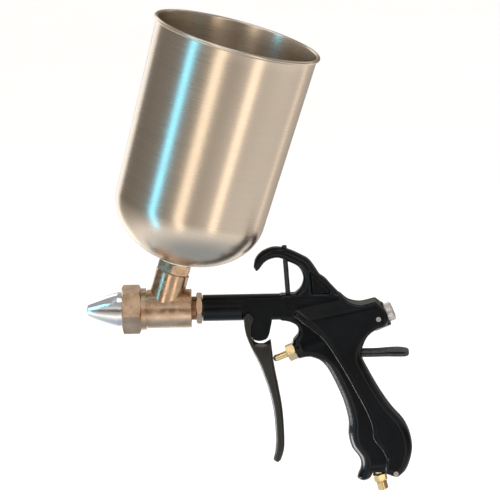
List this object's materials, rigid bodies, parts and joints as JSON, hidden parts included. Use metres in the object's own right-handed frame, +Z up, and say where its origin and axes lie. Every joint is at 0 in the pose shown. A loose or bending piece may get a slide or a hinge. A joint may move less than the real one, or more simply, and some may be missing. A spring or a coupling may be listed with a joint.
{
  "type": "gravity-feed spray gun",
  "caption": "Gravity-feed spray gun: black cast body with hook, trigger and grip, brass tee with cone nozzle, and an open steel cup that leans back over the body.",
  "frame": {"origin": "centre of the nozzle's orifice, at its front face", "axes": "+X runs back along the barrel, the spray leaves along -X; +Z is up, to the cup; Y is across the gun"},
  "size_m": [0.2067, 0.1094, 0.3144],
  "materials": {
    "black_enamel": "gloss",
    "black_rod": "satin",
    "black_trigger": "satin",
    "strap_rubber": "matte",
    "black_rubber": "matte",
    "white_seal": "matte",
    "yellow_brass": "satin",
    "copper_brass": "satin",
    "dark_brass": "satin",
    "plated_steel": "satin",
    "spring_steel": "satin",
    "knob_metal": "satin",
    "polished_chrome": "polished",
    "cup_steel": "brushed"
  },
  "bodies": {
    "gun": {"gun_body": "black_enamel", "hook_stay": "black_rod", "heel_pin": "plated_steel", "hang_strap": "strap_rubber", "air_inlet": "yellow_brass", "inlet_seal": "black_rubber", "gland_nut": "yellow_brass", "gland_packing": "white_seal", "valve_spring": "spring_steel", "valve_plug": "yellow_brass", "plug_o_ring": "black_rubber", "plug_set_screw": "plated_steel", "trigger_pin": "black_rod", "trigger_clips": "black_rod", "lock_nut": "copper_brass"},
    "trigger": {"trigger": "black_trigger"},
    "valve": {"valve_stem": "yellow_brass", "valve_poppet": "yellow_brass", "poppet_seal": "black_rubber"},
    "spindle": {"adjuster_needle": "plated_steel"},
    "knob": {"adjuster_knob": "knob_metal"},
    "head": {"barrel_nipple": "dark_brass", "air_jet": "yellow_brass", "tee_body": "copper_brass", "nozzle_gasket": "white_seal", "nozzle_cone": "polished_chrome", "nozzle_nut": "copper_brass", "cup_adapter": "copper_brass", "cup_gasket": "white_seal", "cup_washer": "white_seal", "cup_nut": "copper_brass", "cup_bottom": "cup_steel", "cup_wall": "cup_steel", "cup_rim_wire": "plated_steel"}
  },
  "joints": [
    {"name": "trigger_pull", "type": "hinge", "parent": "gun", "child": "trigger", "pos_m": [0.1032, 0, -0.0056], "axis": [0, -1, 0], "range_deg": [0, 9], "stiffness_Nm_per_rad": 2, "springref_deg": -5.73},
    {"name": "valve_slide", "type": "slide", "parent": "gun", "child": "valve", "axis": [0.9291, 0, 0.3697], "range_m": [0, 0.0051], "deforming": ["valve_spring"]},
    {"name": "spindle_travel", "type": "slide", "parent": "gun", "child": "spindle", "axis": [0.9291, 0, 0.3697], "range_m": [-0.001, 0.002]},
    {"name": "knob_turn", "type": "hinge", "parent": "spindle", "child": "knob", "pos_m": [0.1332, 0, -0.0288], "axis": [0.9291, 0, 0.3697], "range_deg": [-361, 721]},
    {"name": "head_swivel", "type": "hinge", "parent": "gun", "child": "head", "pos_m": [0.07, 0, 0], "axis": [1, 0, 0], "range_deg": [-45, 45]}
  ],
  "couplings": [
    {"joint": "valve_slide", "follows": "trigger_pull", "m_per_rad": 0.0316},
    {"joint": "knob_turn", "follows": "spindle_travel", "rad_per_m": 6283.2}
  ]
}
